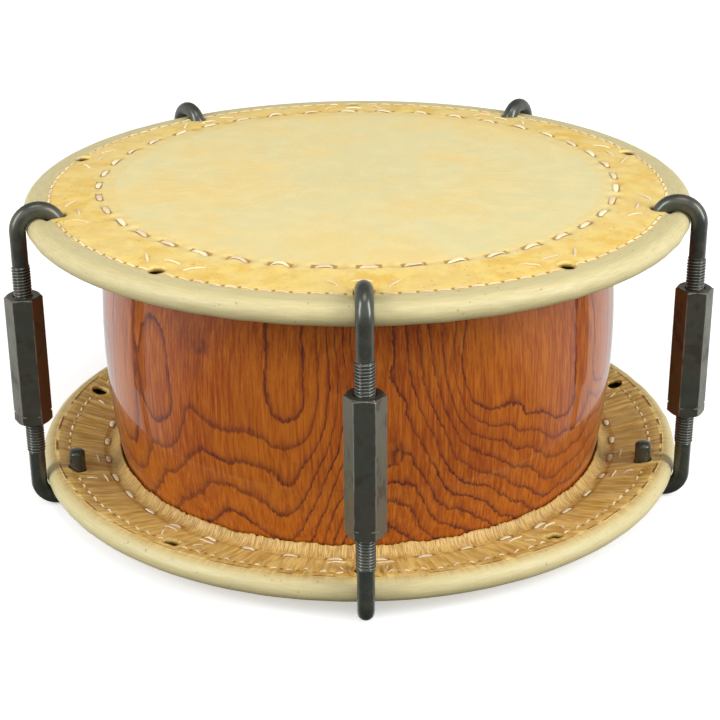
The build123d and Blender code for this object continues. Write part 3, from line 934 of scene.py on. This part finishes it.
def nut_sheet():
    """The nut's skin as angle by section, closed through the bore. Its outline is a hexagon with
    rounded corners, cut at both ends by a cone of 30 degrees and near one end by a groove."""
    corner = np.radians(np.array([-30, -18, -6, 6, 18, 30]))
    inset = (nut_flats / 2 - point_round) / math.cos(math.pi / 6)
    x, y = inset + point_round * np.cos(corner), point_round * np.sin(corner)
    half_flat = inset * math.sin(math.pi / 6)
    flat = np.array([0.92, 0.6, 0.2, -0.2, -0.6, -0.92]) * half_flat
    normal, along = math.radians(30), math.radians(120)
    flat_x = nut_flats / 2 * math.cos(normal) - flat * math.cos(along)
    flat_y = nut_flats / 2 * math.sin(normal) - flat * math.sin(along)
    one = np.hypot(np.concatenate([x, flat_x]), np.concatenate([y, flat_y]))
    phi = np.arctan2(np.concatenate([y, flat_y]), np.concatenate([x, flat_x]))
    near_corner = np.concatenate([np.ones(6), [0.35, 0, 0, 0, 0, 0.35]])
    phi = np.concatenate([phi + math.radians(60 * k) for k in range(6)])
    hexagon, near_corner = np.tile(one, 6), np.tile(near_corner, 6)
    end = nut_l / 2
    bevel = (hexagon.max() - nut_face_r) * math.tan(math.pi / 6)
    near = end - np.array([0.0, 0.1, 0.25, 0.4, 0.55, 0.7, 0.85, 1.0]) * bevel
    groove = -end + np.array([5.0, 5.15, 5.3, 5.9, 6.05, 6.2]) * mm
    cut = np.array([0, 0.6, 1, 1, 0.6, 0]) * 0.7 * mm
    z = np.concatenate([-near, groove, [-20 * mm, 0, 20 * mm], near[::-1]])
    dent = np.concatenate([np.zeros(len(near)), cut, np.zeros(3 + len(near))])
    cone = nut_face_r + (end - np.abs(z[:, None])) / math.tan(math.pi / 6)
    skin = np.minimum(hexagon, cone)
    skin = np.minimum(skin, np.where(dent[:, None] > 0, hexagon.max() - dent[:, None], 1))
    bore_z = np.array([end, end - nut_mouth, 0, nut_mouth - end, -end])
    bore_r = nut_bore_r + np.array([nut_mouth, 0, 0, 0, nut_mouth])
    r = np.concatenate([skin, np.repeat(bore_r[:, None], len(phi), axis=1)])
    z = np.concatenate([z, bore_z])
    # Bright along the corners and where the chamfer meets the flats: partly wear, partly a painted
    # highlight.
    meets = hump(np.abs(hexagon - cone), 0.22 * mm)
    brightened = np.concatenate([np.maximum(near_corner, meets), np.zeros((5, len(phi)))])
    points = np.stack([r * np.cos(phi), r * np.sin(phi), np.broadcast_to(z[:, None], r.shape)], axis=-1)
    return points, quads(len(z), len(phi), True, True), brightened


nut_finish = gunmetal_wear_and_edge_highlight()
nut_points, nut_faces, nut_wear_and_highlight = nut_sheet()
for number, (angle, turn_deg) in enumerate(zip(bolts_at, nut_turns), 1):
    middle = np.array([bolt_r * math.cos(angle), bolt_r * math.sin(angle), mid_z + nut_rise])
    turned = spin(nut_points, math.radians(turn_deg)) + middle
    name, node = f"long_nut_{number}", f"nut_{number}"
    nut = piece(name, turned, nut_faces, nut_finish, node, "black_steel", node)
    nut.data.set_sharp_from_angle(angle=math.radians(28))
    mark(nut, "brightened", nut_wear_and_highlight)

# ---------------------------------------------------------------- the studio
# A white floor, and a room that is bright at the sides and dim overhead and towards the
# camera. Two tall soft boxes beside the drum show in the lacquer, and a third hangs above.


def studio_floor():
    """Matt white paper."""
    paper = Finish("studio_paper")
    fleck = paper.noise(paper.place, 300.0, 2.0)
    tone = paper.mix(fleck, (0.93, 0.93, 0.93), (0.95, 0.95, 0.95))
    paper.set({"Emission Color": (1, 1, 1, 1), "Emission Strength": 0.35})
    return paper.set({"Base Color": tone, "Roughness": 0.9})


floor_mesh = bpy.data.meshes.new("floor")
floor_mesh.from_pydata([(-6, -6, 0), (6, -6, 0), (6, 6, 0), (-6, 6, 0)], [], [(0, 1, 2, 3)])
floor_mesh.materials.append(studio_floor())
floor = bpy.data.objects.new("floor", floor_mesh)
bpy.context.scene.collection.objects.link(floor)
floor.visible_diffuse = False
floor.visible_glossy = False

world = bpy.data.worlds.new("white_room")
world.use_nodes = True
room = world.node_tree
facing = room.nodes.new("ShaderNodeVectorMath")
facing.operation = "DOT_PRODUCT"
facing.inputs[1].default_value = (0, 0.35, 0.64)
room.links.new(room.nodes.new("ShaderNodeTexCoord").outputs["Generated"], facing.inputs[0])
above = room.nodes.new("ShaderNodeMath")
above.inputs[1].default_value = 0.34
room.links.new(facing.outputs["Value"], above.inputs[0])
shade = room.nodes.new("ShaderNodeValToRGB")
room.links.new(above.outputs[0], shade.inputs[0])
shade.color_ramp.elements[0].position = 0.0
shade.color_ramp.elements[0].color = (0.10, 0.10, 0.10, 1)
shade.color_ramp.elements[1].position = 1.0
shade.color_ramp.elements[1].color = (0.12, 0.12, 0.12, 1)
for position, level in ((0.05, 0.40), (0.15, 0.80), (0.36, 1.10), (0.72, 0.75)):
    stop = shade.color_ramp.elements.new(position)
    stop.color = (level, level, level, 1)
room.links.new(shade.outputs["Color"], room.nodes["Background"].inputs["Color"])
bpy.context.scene.world = world


def soft_box(name, place, size, power):
    """A rectangular light that faces the drum's middle."""
    lamp = bpy.data.lights.new(name, "AREA")
    lamp.shape = "RECTANGLE"
    lamp.size, lamp.size_y = size
    lamp.energy = power
    thing = bpy.data.objects.new(name, lamp)
    thing.location = place
    aim = Vector((0, 0, mid_z)) - Vector(place)
    thing.rotation_euler = aim.to_track_quat("-Z", "Y").to_euler()
    bpy.context.scene.collection.objects.link(thing)


soft_box("box_above", (0.1, -0.5, 1.7), (0.8, 0.6), 5.5)
soft_box("box_left", (-1.3, -0.75, 0.75), (0.5, 1.2), 16)
soft_box("box_right", (1.3, -0.75, 0.75), (0.5, 1.2), 20)

heading, rising, tilt = math.radians(-90.85), math.radians(22.139), math.radians(-0.391)
camera_distance = 0.9045
toward = Vector((math.cos(heading), math.sin(heading), 0)) * math.cos(rising)
toward.z = math.sin(rising)
lens = bpy.data.cameras.new("camera")
lens.sensor_width = 36
lens.lens = 82.6
lens.shift_x = 0.0023
lens.shift_y = -0.0623
lens.clip_start = 0.01
camera = bpy.data.objects.new("camera", lens)
look = (-toward).to_track_quat("-Z", "Y") @ Quaternion((0, 0, 1), tilt)
camera.location = Vector((0, 0, mid_z)) + toward * camera_distance
camera.rotation_euler = look.to_euler()
bpy.context.scene.collection.objects.link(camera)
bpy.context.scene.camera = camera
bpy.context.scene.view_settings.view_transform = "Standard"
